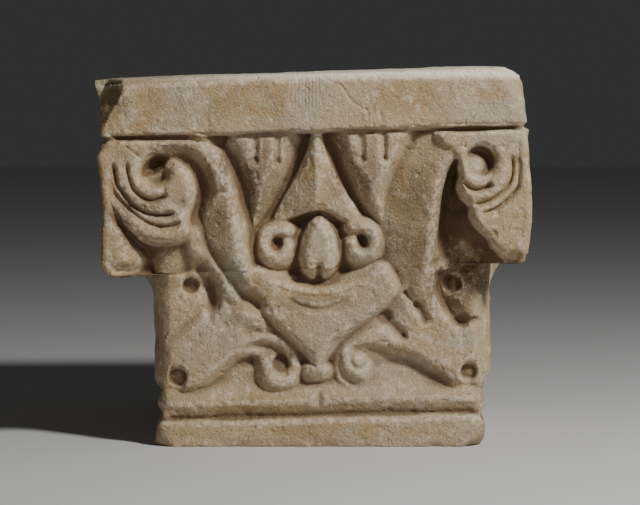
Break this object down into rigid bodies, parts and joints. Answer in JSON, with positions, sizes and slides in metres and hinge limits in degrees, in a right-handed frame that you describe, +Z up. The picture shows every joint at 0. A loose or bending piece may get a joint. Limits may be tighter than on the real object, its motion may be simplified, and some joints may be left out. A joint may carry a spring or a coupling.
{
  "type": "column capital",
  "caption": "Carved stone column capital of square plan with a plain top slab, overhanging corner volutes and bevelled foliage above a plain collar.",
  "frame": {"origin": "centre of the overall width and depth, at the level of the bottom bed", "axes": "+Z up, the carved front faces -Y, +X to the right seen from the front"},
  "size_m": [0.3291, 0.323, 0.2899],
  "materials": {
    "stone": "worn, dull, with orange-brown patina"
  },
  "bodies": {
    "root": {"capital_block": "stone"}
  },
  "joints": []
}
